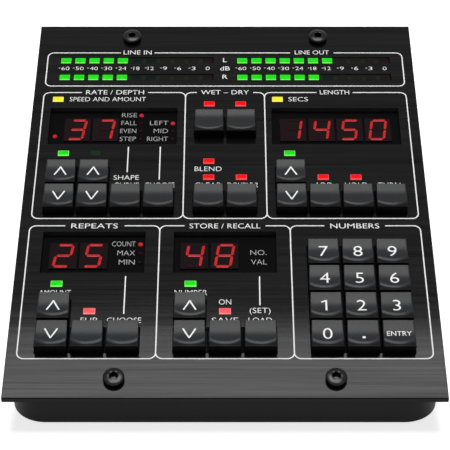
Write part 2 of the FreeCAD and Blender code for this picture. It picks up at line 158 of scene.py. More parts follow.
def new_node(tree, kind, values, gives=0, **settings):
    """Make a shader node, feed it, and return one of its outputs, by number or label."""
    node = tree.nodes.new("ShaderNode" + kind)
    for name, value in settings.items():
        setattr(node, name, value)
    feed(node, values)
    return node.outputs[gives]


def spread(tree, tone, low, high, start=0.3, end=0.7):
    """Number from low to high, as a tone goes from its start to its end."""
    return new_node(tree, "MapRange", {"Value": tone, "From Min": start, "From Max": end,
                                       "To Min": low, "To Max": high})


def mixed_color(tree, share, first, second):
    """Colour that goes from a first to a second one, as a share goes from 0 to 1."""
    return new_node(tree, "Mix", {"Factor": share, color_a: first, color_b: second}, color_out,
                    data_type="RGBA")


def raised(tree, height, strength, depth):
    """Normal of a surface that a height raises a little; the depth is in millimetres."""
    return new_node(tree, "Bump", {"Height": height, "Strength": strength,
                                   "Distance": depth * millimetre})


def new_material(name, color, roughness, metallic=0.0, specular=0.5):
    """Principled material with its plain values set, its tree and its shader."""
    material = bpy.data.materials.new(name)
    material.use_nodes = True
    material.diffuse_color = (*color, 1.0)
    shader = material.node_tree.nodes["Principled BSDF"]
    feed(shader, {"Base Color": color, "Roughness": roughness, "Metallic": metallic,
                  "Specular IOR Level": specular})
    return material, material.node_tree, shader


def new_group(name, numbers, outputs):
    """Node group for a pattern, and the outputs of the node that stands for its inputs.

    Each group takes coordinates, two colours with the tones where they are reached, and
    numbers of its own. It gives the mixed colour, and numbers of its own.
    """
    group = bpy.data.node_groups.new(name, "ShaderNodeTree")
    inputs = [("Coordinate", "Vector", (0, 0, 0)), ("Dark", "Color", (0, 0, 0, 1)),
              ("Light", "Color", (1, 1, 1, 1)), ("Dark Tone", "Float", 0.0),
              ("Light Tone", "Float", 1.0)]
    inputs += [(label, "Float", value) for label, value in numbers.items()]
    for label, kind, value in inputs:
        socket = group.interface.new_socket(label, in_out="INPUT",
                                            socket_type="NodeSocket" + kind)
        socket.default_value = value
    group.interface.new_socket("Color", in_out="OUTPUT", socket_type="NodeSocketColor")
    for label in outputs:
        group.interface.new_socket(label, in_out="OUTPUT", socket_type="NodeSocketFloat")
    return group, group.nodes.new("NodeGroupInput").outputs


def finish_group(group, start, tone, numbers):
    """Mix a group's two colours by a tone, and give the colour and its numbers out."""
    share = spread(group, tone, 0.0, 1.0, start["Dark Tone"], start["Light Tone"])
    color = mixed_color(group, share, start["Dark"], start["Light"])
    feed(group.nodes.new("NodeGroupOutput"), {"Color": color, **numbers})
    return group


def placed(tree, group, values):
    """Outputs of a group with its own values, on the piece's own coordinates."""
    pattern = tree.nodes.new("ShaderNodeGroup")
    pattern.node_tree = group
    feed(pattern, {"Coordinate": new_node(tree, "TexCoord", {}, "Object"), **values})
    return pattern.outputs


def brushed_group():
    """Long fine scratches along X: a tone and a height that change across them."""
    group, start = new_group("brushed along x", {"Scratch Width": 0.0002,
                                                 "Scratch Length": 0.03}, ["Tone", "Height"])
    along = new_node(group, "Math", {0: 1.0, 1: start["Scratch Length"]}, operation="DIVIDE")
    across = new_node(group, "Math", {0: 1.0, 1: start["Scratch Width"]}, operation="DIVIDE")
    scale = new_node(group, "CombineXYZ", {"X": along, "Y": across, "Z": across})
    stretched = new_node(group, "VectorMath", {0: start["Coordinate"], 1: scale},
                         operation="MULTIPLY")
    fine = new_node(group, "TexNoise", {"Vector": stretched, "Scale": 1.0, "Detail": 4.0,
                                        "Roughness": 0.65})
    broad = new_node(group, "TexNoise", {"Vector": stretched, "Scale": 0.14, "Detail": 2.0,
                                         "Roughness": 0.6})
    tone = new_node(group, "Mix", {"Factor": 0.45, "A": fine, "B": broad}, data_type="FLOAT")
    return finish_group(group, start, tone, {"Tone": tone, "Height": fine})


brushed = brushed_group()


def faces_along(tree, direction, limit):
    """1 where a face looks nearly along a direction, and 0 elsewhere."""
    normal = new_node(tree, "NewGeometry", {}, "True Normal")
    along = new_node(tree, "VectorMath", {0: normal, 1: direction}, "Value",
                     operation="DOT_PRODUCT")
    return new_node(tree, "Math", {0: along, 1: limit}, operation="GREATER_THAN")


def brushed_black_metal():
    """Glossy anodised face with long scratches; its cut and bevelled edges are matt.

    The walls that face forward inside the openings are painted paler than the outer edge: painted
    light, standing in for light that the shaded openings don't get.
    """
    material, tree, shader = new_material("black brushed anodised aluminium",
                                          (0.0115, 0.0115, 0.0118), roughness=0.1,
                                          metallic=0.62, specular=0.05)
    scratches = placed(tree, brushed, {"Scratch Width": 0.0005, "Scratch Length": 0.05,
                                       "Dark": (0.0045, 0.0045, 0.0047), "Dark Tone": 0.3,
                                       "Light": (0.0180, 0.0180, 0.0184), "Light Tone": 0.7})
    face = faces_along(tree, (0, -math.sin(tilt), math.cos(tilt)), face_limit)
    forward = faces_along(tree, (0, -math.cos(tilt), -math.sin(tilt)), wall_limit)
    place = new_node(tree, "TexCoord", {}, "Object")
    back = new_node(tree, "SeparateXYZ", {0: place}, "Y")
    inside = new_node(tree, "Math", {0: back, 1: panel_low.y + outer_edge_depth},
                      operation="GREATER_THAN")
    inner = new_node(tree, "Math", {0: forward, 1: inside}, operation="MULTIPLY")
    # Forward walls inside the openings get the paler colour, painted light.
    walls = mixed_color(tree, inner, outer_wall, painted_light_wall)
    polish = spread(tree, scratches["Tone"], low=0.08, high=0.11)
    rough = new_node(tree, "Mix", {"Factor": face, "A": 0.5, "B": polish}, data_type="FLOAT")
    feed(shader, {"Base Color": mixed_color(tree, face, walls, scratches["Color"]),
                  "Roughness": rough,
                  "Normal": raised(tree, scratches["Height"], strength=0.1, depth=0.01)})
    return material


def widest(name):
    """Corners of a key's cap, the wider of its two solids."""
    return max(solids_of(name), key=lambda corners: corners[1].x - corners[0].x)


def stands_at(place):
    """True where a key stands at a place on the panel."""
    return any(same_place(middle(box), place) for box in cap_boxes.values())


def sheet_mesh():
    """The sheet, with its openings brought up to the feet of the front-most keys."""
    mesh = merged_copy("faceplate")
    for box in cap_boxes.values():
        if stands_at(middle(box) - one_row):
            continue
        for vertex in mesh.verts:
            aside = abs(vertex.co.x - middle(box).x)
            if (abs(aside - opening_half_width) < edge_reach
                    and abs(vertex.co.y - box[0].y + front_row_gap) < edge_reach):
                vertex.co.y += front_row_gap - closed_gap
    return mesh


def dress(node, material):
    """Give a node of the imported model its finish."""
    slots = frame["nodes"][node].data.materials
    slots.clear()
    slots.append(material)


key_nodes = [name for name in frame["nodes"] if "_key_" in name]
cap_boxes = {name: widest(name) for name in key_nodes}
key_pitch = middle(cap_boxes["keypad_key_3"]).x - middle(cap_boxes["keypad_key_2"]).x
one_row = Vector((0, key_pitch, 0))
one_column = Vector((key_pitch, 0, 0))
sheet = new_piece("panel_sheet", sheet_mesh(), "chassis", "panel_metal", brushed_black_metal())
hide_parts("faceplate")

# Printing on the panel
# White ink is screen printed on the anodised face: thin frames round each group of
# controls with a gap for its title, short words and numbers, and pointer lines.

ink_height = 0.02
line_width = 0.4
frame_corner = 2.4
corner_steps = 8
frame_lift = 0.004
legend_height = 2.1
letter_stretch = 1.12
letter_steps = 3
title_weight = -0.004
word_weight = -0.009
number_weight = -0.01


def flat_box(mesh, low, high, height):
    """Flat rectangle between two corners, facing up."""
    size = (high[0] - low[0], high[1] - low[1])
    place = Matrix.Translation(((low[0] + high[0]) / 2, (low[1] + high[1]) / 2, height))
    bmesh.ops.create_grid(mesh, x_segments=1, y_segments=1, size=0.5,
                          matrix=place @ Matrix.Diagonal((*size, 1, 1)))


def frame_line(mesh, low, high, height, gaps):
    """Rounded line round some controls, broken at its rear where a title stands."""
    ring = bmesh.new()
    flat_box(ring, (low[0] - line_width / 2, low[1] - line_width / 2),
             (high[0] + line_width / 2, high[1] + line_width / 2), height)
    bmesh.ops.bevel(ring, geom=ring.verts[:], offset=frame_corner, offset_type="OFFSET",
                    segments=corner_steps, profile=0.5, affect="VERTICES", material=-1)
    inner = ring.faces[:]
    bmesh.ops.inset_region(ring, faces=inner, thickness=line_width, use_boundary=True,
                           use_even_offset=True)
    bmesh.ops.delete(ring, geom=inner, context="FACES")
    for start, end in gaps:
        for x in (start, end):
            bmesh.ops.bisect_plane(ring, geom=ring.verts[:] + ring.edges[:] + ring.faces[:],
                                   plane_co=(x, 0, 0), plane_no=(1, 0, 0))
        inside = [f for f in ring.faces if start < f.calc_center_median().x < end
                  and f.calc_center_median().y > (low[1] + high[1]) / 2]
        bmesh.ops.delete(ring, geom=inside, context="FACES")
    part = bpy.data.meshes.new("frame line")
    ring.to_mesh(part)
    ring.free()
    mesh.from_mesh(part)


def letter_mesh(words, weight=0.0):
    """Words in the built-in font at its plain size, as a flat mesh."""
    text = bpy.data.curves.new("legend", "FONT")
    text.body = words
    text.offset = weight
    text.resolution_u = letter_steps
    holder = bpy.data.objects.new("legend", text)
    bpy.context.scene.collection.objects.link(holder)
    bpy.context.view_layer.update()
    letters = bpy.data.meshes.new_from_object(holder.evaluated_get(
        bpy.context.evaluated_depsgraph_get()))
    bpy.data.objects.remove(holder)
    return letters


def ends_of(letters, axis):
    """Lowest and highest place of a mesh along an axis."""
    places = [vertex.co[axis] for vertex in letters.vertices]
    return min(places), max(places)


def write(mesh, words, place, height, width=None, weight=0.0, ends_there=False):
    """Add printed words to a mesh, with capitals of one height and their foot at a place.

    They are centred there unless they end there.
    """
    letters = letter_mesh(words, weight)
    left, right = ends_of(letters, 0)
    size = height / capital_height
    stretch = width / (right - left) if width else size * letter_stretch
    start = right if ends_there else (left + right) / 2
    letters.transform(Matrix.Translation(place) @ Matrix.Diagonal((stretch, size, 1, 1))
                      @ Matrix.Translation((-start, 0, 0)))
    mesh.from_mesh(letters)


capital_foot, capital_top = ends_of(letter_mesh("H"), 1)
capital_height = capital_top - capital_foot

line_frames = [((-64.2, 134.9), (64.2, 152.1), [(-37.9, -25.6), (23.7, 39.5)]),
               ((-64.3, 72.2), (-14.0, 131.6), [(-50.9, -27.4)]),
               ((-14.0, 72.2), (14.0, 131.6), [(-10.0, 10.0)]),
               ((14.0, 72.2), (64.3, 131.6), [(32.5, 45.4)]),
               ((-64.5, 14.8), (-21.5, 69.0), [(-52.8, -33.2)]),
               ((-21.5, 14.8), (21.5, 69.0), [(-13.4, 13.4)]),
               ((21.5, 14.8), (64.5, 69.0), [(32.8, 52.9)])]
pointer_lines = [(-33.3, 93.1, 105.0), (-22.3, 89.7, 105.0), (-32.0, 32.3, 47.6),
                 (11.1, 35.7, 47.5)]
titles = [("LINE IN", -31.8, 151.3, 10.2), ("LINE OUT", 31.6, 151.3, 12.4),
          ("RATE / DEPTH", -39.1, 130.7, 20.6), ("WET – DRY", 0.0, 130.7, 17.0),
          ("LENGTH", 38.95, 130.7, 10.4), ("REPEATS", -43.1, 67.9, 15.4),
          ("STORE / RECALL", 0.0, 67.9, 23.4), ("NUMBERS", 42.9, 67.9, 16.2)]
words = [("SPEED AND AMOUNT", -41.5, 127.2, 27.0), ("SECS", 25.9, 127.2, 6.9),
         ("SHAPE", -33.5, 89.6, 8.6), ("CURVE", -33.3, 86.2, 8.4), ("CHOOSE", -22.1, 86.2, 10.0),
         ("BLEND", -5.75, 93.6, 9.2), ("CLEAR", -5.7, 86.2, 9.0), ("DOUBLE 2", 6.0, 86.2, 10.2),
         ("ADD", 33.3, 86.2, 6.0), ("HOLD", 44.4, 86.2, 7.6), ("TURN", 55.5, 86.2, 7.6),
         ("AMOUNT", -54.3, 39.8, 10.2), ("FLIP", -42.9, 28.7, 5.2), ("CHOOSE", -31.8, 28.7, 10.8),
         ("NUMBER", -10.9, 39.8, 10.4), ("ON", 0.0, 36.0, 3.9), ("(SET)", 11.1, 32.6, 6.6),
         ("SAVE", 0.0, 28.7, 8.4), ("LOAD", 11.1, 28.7, 7.4)]
scale_numbers = [60, 50, 40, 30, 24, 18, 12, 9, 6, 3, 0]
scale_height = 1.75
scale_digit_width = 1.43
narrow_digit = 0.75
minus_size = Vector((0.62, 0.2))
minus_gap = 0.4
minus_lift = 0.3


def uneven_group():
    """Soft patches, as in a thin layer of ink or in cast resin."""
    group, start = new_group("uneven patches", {"Scale": 1000.0, "Detail": 2.0}, ["Tone"])
    noise = new_node(group, "TexNoise", {"Vector": start["Coordinate"],
                                         "Scale": start["Scale"], "Detail": start["Detail"]})
    return finish_group(group, start, noise, {"Tone": noise})


uneven = uneven_group()


def printing_ink(name, dark, light):
    """White ink, a little thinner in places."""
    material, tree, shader = new_material(name, light, roughness=0.5)
    patches = placed(tree, uneven, {"Scale": 2500.0, "Detail": 3.0,
                                    "Dark": dark, "Dark Tone": 0.25,
                                    "Light": light, "Light Tone": 0.6})
    feed(shader, {"Base Color": patches["Color"]})
    return material


ink = printing_ink("white screen printing ink", (0.72, 0.72, 0.71), (0.9, 0.9, 0.89))
lines = bmesh.new()
for number, (low, high, gaps) in enumerate(line_frames):
    frame_line(lines, low, high, ink_height + frame_lift * number, gaps)
for x, start, end in pointer_lines:
    flat_box(lines, (x - line_width / 2, start), (x + line_width / 2, end), ink_height)
new_piece("printed_lines", lines, "chassis", "white_print", ink)

print_work = bmesh.new()
for label, x, s, width in titles:
    write(print_work, label, (x, s, ink_height), legend_height, width, title_weight)
for label, x, s, width in words:
    write(print_work, label, (x, s, ink_height), legend_height, width, word_weight)
meter_places = [middle(corners) for corners in solids_of("meter_bars")]
bars_in_row = len(meter_places) // 2
scale_line = (meter_places[0].y + meter_places[-1].y) / 2
for number, place in enumerate(meter_places[:bars_in_row]):
    label = str(scale_numbers[number % len(scale_numbers)])
    width = scale_digit_width * len(label) - narrow_digit * label.count("1")
    write(print_work, label, (place.x, scale_line - scale_height / 2, ink_height),
          scale_height, width, number_weight)
    if label != "0":
        end = Vector((place.x - width / 2 - minus_gap, scale_line + minus_lift))
        flat_box(print_work, end - minus_size, end, ink_height)
for label, s in (("R", meter_places[0].y), ("dB", scale_line), ("L", meter_places[-1].y)):
    write(print_work, label, (0, s - legend_height / 2, ink_height), legend_height)
new_piece("printed_words", print_work, "chassis", "white_print", ink)

# Black strips between the keys, painted shade
# The panel keeps a narrow web between neighbouring keys. A matt black strip on each web is
# painted shade, standing in for the shadow between the caps, so that a row of keys looks
# like one dark opening.

web_width = 0.5
web_front = 5.0
web_back = 5.13


def matt_black():
    """Painted shade between the keys: black without gloss, a little rougher in places."""
    material, tree, shader = new_material("matt black painted shade", (0.0025, 0.0025, 0.0025),
                                          roughness=0.6, specular=0.03)
    patches = placed(tree, uneven, {"Scale": 2500.0, "Detail": 3.0})
    feed(shader, {"Roughness": spread(tree, patches["Tone"], 0.55, 0.7, start=0.0, end=1.0)})
    return material


webs = bmesh.new()
for box in cap_boxes.values():
    place = middle(box)
    if stands_at(place + one_column):
        deep = stands_at(place + one_row) and stands_at(place + one_column + one_row)
        back = key_pitch - web_front if deep else web_back
        x = place.x + key_pitch / 2
        flat_box(webs, (x - web_width / 2, place.y - web_front),
                 (x + web_width / 2, place.y + back), ink_height / 2)
# Matt black strips on the webs, painted shade between the keys.
new_piece("key_web_painted_shade", webs, "chassis", "mask_plastic", matt_black())

# Key caps
# Each cap is moulded in dark grey plastic with a scooped top and a curved front lip that
# stands above two small corner ledges. It is hollow and is pushed onto its own plunger.
# Its walls, front and ledges take a darker copy of the plastic: painted shade.

cap_columns = 24
scoop_rows = 12
lip_rows = 10
ledge_rows = 2
lip_radius = 10.4
lip_start = -2.75
lip_length = 1.83
lip_slope = 0.6
edge_slope = 0.65
edge_power = 10
lip_step = 0.05
lip_ease = 1.6
ledge_setback = 0.03
ledge_height = 3.5
cap_front_lean = 0.15
rim_round = 0.25
rim_steps = 3
corner_angle = math.radians(45)
grid_front = -0.99
upright = 1.0
painted_shade_facing = 0.5
cap_draft = 0.07
cap_back_taper = 0.2
cap_wall = 1.1
cap_roof = 1.4
cap_scoop = 0.6
cap_low_place = 0.4
cap_box = cap_boxes[key_nodes[0]]
plunger_box = min(solids_of(key_nodes[0]), key=lambda corners: corners[1].x - corners[0].x)
cap_half_width = (cap_box[1].x - cap_box[0].x) / 2
cap_half_length = (cap_box[1].y - cap_box[0].y) / 2
cap_top = cap_box[1].z
cap_skirt = cap_box[0].z
cap_low = cap_top - cap_scoop
scoop_run = cap_half_length - cap_low_place
scoop_radius = (scoop_run ** 2 + cap_scoop ** 2) / (2 * cap_scoop)


def lip_line(x):
    """Where the lip starts at a place across the cap: it is curved in plan."""
    return lip_start + lip_radius - math.sqrt(lip_radius ** 2 - x ** 2)


def top_height(x, s):
    """Height of the scooped top, which rolls over in a soft lip at its front."""
    scoop = cap_low + scoop_radius - math.sqrt(scoop_radius ** 2 - (s - cap_low_place) ** 2)
    run = max(0, lip_line(x) - s) / lip_length
    return scoop - lip_length * (lip_slope * run ** 2 / 2
                                 + edge_slope * run ** (edge_power + 1) / (edge_power + 1))


def cap_surface(across, down):
    """Point of the cap's top: across from -1 to 1, and down from row 0 at the back.

    The lip ends a little behind the front and steps down to a ledge, widest at the corners.
    """
    back = cap_half_length - cap_draft
    front = cap_front_lean - cap_half_length
    line = lip_line(across * cap_half_width)
    if down <= scoop_rows:
        s = back + (line - back) * down / scoop_rows
    else:
        run = min(1, (down - scoop_rows) / lip_rows)
        s = line - lip_length * (1 - (1 - run) ** lip_ease)
    height = top_height(across * cap_half_width, s)
    if down > scoop_rows + lip_rows:
        s -= ledge_setback
        height -= lip_step
    if down > scoop_rows + lip_rows + 1:
        s = front
        height = (height + ledge_height) / 2
    taper = cap_back_taper * (s - front) / (back - front)
    return Vector((across * (cap_half_width - cap_draft - taper), s, height))


def cap_mesh():
    """Scooped top on drafted walls, with a rounded rim, a hollow and the plunger."""
    rows = scoop_rows + lip_rows + ledge_rows
    mesh = bmesh.new()
    bmesh.ops.create_grid(mesh, x_segments=cap_columns, y_segments=rows, size=1)
    rim = [edge for edge in mesh.edges if edge.is_boundary]
    soft = [edge for edge in rim if any(v.co.y > grid_front for v in edge.verts)]
    # The ledge rows take the second material, painted shade.
    for face in mesh.faces:
        face.material_index = int(face.calc_center_median().y < 2 * ledge_rows / rows - 1)
    for vertex in mesh.verts:
        down = round((1 - vertex.co.y) / 2 * rows)
        vertex.co = cap_surface(vertex.co.x, down)
    wall = bmesh.ops.extrude_edge_only(mesh, edges=rim)["geom"]
    top_length = 2 * cap_half_length - cap_draft - cap_front_lean
    for vertex in [v for v in wall if isinstance(v, bmesh.types.BMVert)]:
        vertex.co.x *= cap_half_width / (cap_half_width - cap_draft)
        vertex.co.y = cap_half_length * (2 * (vertex.co.y - cap_front_lean + cap_half_length)
                                         / top_length - 1)
        vertex.co.z = cap_skirt
    bmesh.ops.recalc_face_normals(mesh, faces=mesh.faces[:])
    soft += [edge for edge in mesh.edges if edge.calc_face_angle(0) > corner_angle
             and abs(edge.verts[0].co.z - edge.verts[1].co.z) > upright]
    bmesh.ops.bevel(mesh, geom=soft, offset=rim_round, offset_type="OFFSET",
                    segments=rim_steps, profile=0.5, affect="EDGES", material=-1,
                    clamp_overlap=True)
    foot = [edge for edge in mesh.edges if edge.is_boundary]
    floor = bmesh.ops.contextual_create(mesh, geom=foot)["faces"]
    bmesh.ops.inset_region(mesh, faces=floor, thickness=cap_wall)
    hollow = bmesh.ops.extrude_face_region(mesh, geom=floor)
    bmesh.ops.translate(mesh, vec=(0, 0, cap_low - cap_roof - cap_skirt),
                        verts=[v for v in hollow["geom"] if isinstance(v, bmesh.types.BMVert)])
    bmesh.ops.delete(mesh, geom=floor, context="FACES")
    width = plunger_box[1].x - plunger_box[0].x
    height = plunger_box[1].z - plunger_box[0].z
    place = Matrix.Translation((0, 0, (plunger_box[0].z + plunger_box[1].z) / 2))
    bmesh.ops.create_cube(mesh, size=1, matrix=place @ Matrix.Diagonal((width, width,
                                                                        height, 1)))
    bmesh.ops.recalc_face_normals(mesh, faces=mesh.faces[:])
    # Faces that don't look up take the second material too, painted shade.
    for face in mesh.faces:
        if face.normal.z < painted_shade_facing:
            face.material_index = 1
    data = bpy.data.meshes.new("cap")
    mesh.to_mesh(data)
    mesh.free()
    return data


def moulded_group():
    """Fine moulded plastic: a soft change of tone and a grain for the bump."""
    group, start = new_group("moulded grain", {"Grain Size": 0.0001}, ["Grain"])
    scale = new_node(group, "Math", {0: 1.0, 1: start["Grain Size"]}, operation="DIVIDE")
    place = new_node(group, "VectorMath", {0: start["Coordinate"], "Scale": scale},
                     operation="SCALE")
    grain = new_node(group, "TexNoise", {"Vector": place, "Scale": 1.0, "Detail": 2.0})
    cloud = new_node(group, "TexNoise", {"Vector": start["Coordinate"], "Scale": 220.0,
                                         "Detail": 3.0})
    tone = new_node(group, "Mix", {"Factor": 0.35, "A": cloud, "B": grain}, data_type="FLOAT")
    return finish_group(group, start, tone, {"Grain": grain})


moulded = moulded_group()


def moulded_plastic(name, dark, light, roughness, grain_size, relief, specular=0.5):
    """Plastic with a moulded grain of its own size and depth, in millimetres."""
    material, tree, shader = new_material(name, light, roughness, specular=specular)
    grain = placed(tree, moulded, {"Dark": dark, "Light": light,
                                   "Grain Size": grain_size * millimetre})
    feed(shader, {"Base Color": grain["Color"],
                  "Roughness": spread(tree, grain["Grain"], roughness - 0.05, roughness + 0.05),
                  "Normal": raised(tree, grain["Grain"], strength=0.5, depth=relief)})
    return material


cap_plastic = moulded_plastic("dark grey satin plastic", (0.0156, 0.0161, 0.0178),
                              (0.0182, 0.0188, 0.0207), roughness=0.25, grain_size=0.12,
                              relief=0.006, specular=0.104)
# Painted shade: a darker copy of the cap plastic, for its walls, front and ledges.
cap_painted_shade = moulded_plastic("dark grey plastic, painted shade", (0.006, 0.006, 0.0064),
                           (0.0085, 0.0085, 0.009), roughness=0.3, grain_size=0.2, relief=0.004,
                           specular=0.05)
cap_data = cap_mesh()
key_places = {}
for name in key_nodes:
    key_places[name] = Vector((*middle(cap_boxes[name]).xy, 0))
    copy = bmesh.new()
    copy.from_mesh(cap_data)
    bmesh.ops.translate(copy, verts=copy.verts, vec=key_places[name])
    piece = new_piece(name + "_cap", copy, name, "key_plastic", cap_plastic, cap_painted_shade,
                      smooth=True)
    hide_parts(name)

# Legends on the caps
# The two arrow keys of each pair carry a plain chevron and the keypad its numbers, printed
# in white on the scooped top and following its curve.

chevron_half_width = 1.9
chevron_half_length = 1.75
chevron_stroke = 0.5
chevron_end = 0.23
end_sides = 14
end_lift = 0.002
stroke_steps = 6
stroke_lift = 0.004
number_height = 4.3
number_drop = 0.1
legend_weight = -0.006
flag_start, flag_end = Vector((-0.1, 1.75)), Vector((-1.5, 1.2))
flag_width = 0.5
point_low, point_high = (-0.37, -2.0), (0.53, -1.15)
small_word_height = 1.8
small_word_width = 7.7
small_word_drop = 0.05
up_keys = [name for name in key_nodes if "_up_key_" in name]
keypad_words = {"keypad_key_" + str(number): str(number) for number in range(10)}


def stroke(mesh, start, end, width, lift):
    """Straight stroke between two points, in short steps so that it can follow the scoop."""
    run = end - start
    place = (Matrix.Translation((*((start + end) / 2), lift))
             @ Matrix.Rotation(math.atan2(run.y, run.x), 4, "Z")
             @ Matrix.Diagonal((run.length, width, 1, 1)))
    bmesh.ops.create_grid(mesh, x_segments=stroke_steps, y_segments=1, size=0.5, matrix=place)


def chevron(mesh, direction):
    """Two strokes that meet in a point, ahead or behind."""
    tip = Vector((0, direction * chevron_half_length))
    for side in (-1, 1):
        end = Vector((side * chevron_half_width, -direction * chevron_half_length))
        beyond = (end - tip).normalized() * chevron_stroke / 4
        stroke(mesh, tip - beyond, end + beyond, chevron_stroke, stroke_lift * side)
        bmesh.ops.create_circle(mesh, cap_ends=True, segments=end_sides, radius=chevron_end,
                                matrix=Matrix.Translation((*end, end_lift)))


def cap_legend(name):
    """Printed mark of one key, laid on the scoop; it is empty where the cap is plain."""
    mark = bmesh.new()
    if name in up_keys:
        chevron(mark, 1)
    elif any(same_place(key_places[up] - one_row, key_places[name]) for up in up_keys):
        chevron(mark, -1)
    elif name in keypad_words:
        write(mark, keypad_words[name], (0, -number_height / 2 - number_drop, 0),
              number_height, weight=legend_weight)
        if keypad_words[name] == "1":
            stroke(mark, flag_start, flag_end, flag_width, stroke_lift)
    elif name == "keypad_key_point":
        flat_box(mark, point_low, point_high, 0)
    elif name == "keypad_key_enter":
        write(mark, "ENTRY", (0, -small_word_height / 2 - small_word_drop, 0),
              small_word_height, small_word_width)
    for vertex in mark.verts:
        vertex.co.z += top_height(vertex.co.x, vertex.co.y) + ink_height
    return mark


for name in key_nodes:
    mark = cap_legend(name)
    if mark.verts:
        bmesh.ops.translate(mark, verts=mark.verts, vec=key_places[name])
        new_piece(name + "_legend", mark, name, "white_print", ink)
    else:
        mark.free()

# Digit displays
# Two-digit and four-digit seven-segment modules stand behind black masks in the panel's
# windows. Their faces are near black, and each bar is a red diffuser that is lit or dark.

shown_numbers = {"digits_upper_left": "37", "digits_upper_right": "1450",
                 "digits_lower_left": "25", "digits_lower_middle": "48"}
lit_bars_of = {"0": "abcdef", "1": "bc", "2": "abdeg", "3": "abcdg", "4": "bcfg", "5": "acdfg",
               "6": "acdefg", "7": "abc", "8": "abcdefg", "9": "abcdfg"}
bar_letters = {(0, 1): "a", (1, 1): "b", (1, -1): "c", (0, -1): "d", (-1, -1): "e",
               (-1, 1): "f", (0, 0): "g"}
lit_points = [(-29.4, 122.2), (-18.3, 118.3), (-59.3, 112.0), (-27.9, 62.7)]
digit_slant = math.radians(8)
bar_pitch = 4.3
flat_angle = math.radians(1)
round_angle = math.radians(30)
digit_strip = 0.2
dot_rounding = 0.12
dot_strip = 0.6
rim_facing = (0.1, 0.99)


def copied_solids(node, wanted, rounding=0.0):
    """Copy of some of a node's solids, by number, with their edges rounded if asked."""
    mesh = merged_copy(node)
    for number, group in enumerate(separate_solids(mesh)):
        if number not in wanted:
            bmesh.ops.delete(mesh, geom=group, context="VERTS")
    bmesh.ops.dissolve_limit(mesh, angle_limit=flat_angle, verts=mesh.verts, edges=mesh.edges)
    if rounding:
        sharp = [edge for edge in mesh.edges if edge.calc_face_angle(0) > round_angle]
        bmesh.ops.bevel(mesh, geom=sharp, offset=rounding, offset_type="OFFSET", segments=2,
                        profile=0.5, affect="EDGES", material=-1, clamp_overlap=True)
    return mesh


def glowing_plastic(name, dark, light):
    """Diffuser lit from inside: a clear colour that is a little uneven, as cast resin is."""
    material, tree, shader = new_material(name, (0.002, 0.002, 0.002), roughness=0.4,
                                          specular=0.01)
    patches = placed(tree, uneven, {"Scale": 900.0, "Detail": 2.0,
                                    "Dark": dark, "Dark Tone": 0.35,
                                    "Light": light, "Light Tone": 0.6})
    feed(shader, {"Emission Color": patches["Color"], "Emission Strength": 1.0})
    return material


def lit_pair(name, dark, light, highlight_dark, highlight_light):
    """The lit plastic of a lamp or bar, and the same in a paler tone for its front edge and
    sloped rims, as a painted highlight.
    """
    return [glowing_plastic(name + ", lit", dark, light),
            glowing_plastic(name + ", painted highlight on front edge", highlight_dark, highlight_light)]


module_black = moulded_plastic("matt black display face", (0.0110, 0.0068, 0.0080),
                               (0.0145, 0.0088, 0.0104), roughness=0.6, grain_size=0.08,
                               relief=0.004, specular=0.01)
mask_black = moulded_plastic("black mask sheet", (0.0024, 0.0024, 0.0027),
                             (0.0034, 0.0034, 0.0038), roughness=0.5, grain_size=0.15,
                             relief=0.004, specular=0.01)
smoked_ink = printing_ink("white ink behind smoked glass", (0.31, 0.31, 0.31),
                          (0.39, 0.39, 0.39))
lit_red = lit_pair("red diffuser", (0.47, 0.016, 0.018), (0.57, 0.026, 0.028),
                   (0.53, 0.06, 0.065), (0.63, 0.10, 0.11))
dark_red = moulded_plastic("red diffuser, dark", (0.012, 0.0035, 0.004), (0.015, 0.005, 0.0055),
                           roughness=0.5, grain_size=0.2, relief=0.005, specular=0.02)
modules = []
for node, number in shown_numbers.items():
    dress(node, module_black)
    modules += zip([middle(corners) for corners in solids_of(node)], number)
dress("window_masks", mask_black)


def bar_is_lit(corners):
    """True where a bar belongs to the number that its module shows."""
    place, digit = min(modules, key=lambda entry: (entry[0] - middle(corners)).xy.length)
    step = middle(corners) - place
    across = step.x - step.y * math.tan(digit_slant)
    size = corners[1] - corners[0]
    side = 0 if size.x > size.y else int(math.copysign(1, across))
    level = round(step.y / bar_pitch) if side == 0 else int(math.copysign(1, step.y))
    return bar_letters[side, level] in lit_bars_of[digit]


def numbers_where(node, test):
    """Numbers of a node's solids whose corners pass a test."""
    return {number for number, corners in enumerate(solids_of(node)) if test(corners)}


def lit_solids(node, wanted, rounding, front_strip):
    """Copy of some of a node's solids, with their front and soft rims in a second material."""
    mesh = copied_solids(node, wanted, rounding)
    for group in separate_solids(mesh):
        line = corners_of(group)[0].y + front_strip
        faces = {face for vertex in group for face in vertex.link_faces}
        edges = {edge for face in faces for edge in face.edges}
        bmesh.ops.bisect_plane(mesh, geom=group + list(edges) + list(faces),
                               plane_co=(0, line, 0), plane_no=(0, 1, 0))
    for group in separate_solids(mesh):
        line = corners_of(group)[0].y + front_strip
        # The front strip and sloped rims take the second material, which on lit lamps and bars is
        # a painted highlight.
        for face in {face for vertex in group for face in vertex.link_faces}:
            face.material_index = int(face.calc_center_median().y < line
                                      or rim_facing[0] < face.normal.z < rim_facing[1])
    return mesh


def two_states(node, lit, rounding, lit_materials, dark_material, slot, front_strip):
    """Replace a node's solids by a lit piece and a dark piece."""
    dark = set(range(len(solids_of(node)))) - lit
    lit_piece = new_piece(node + "_lit", lit_solids(node, lit, rounding, front_strip),
                          "chassis", slot, *lit_materials)
    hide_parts(node)
    dark_piece = new_piece(node + "_dark", copied_solids(node, dark, rounding), "chassis",
                           slot, dark_material)
    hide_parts(node)


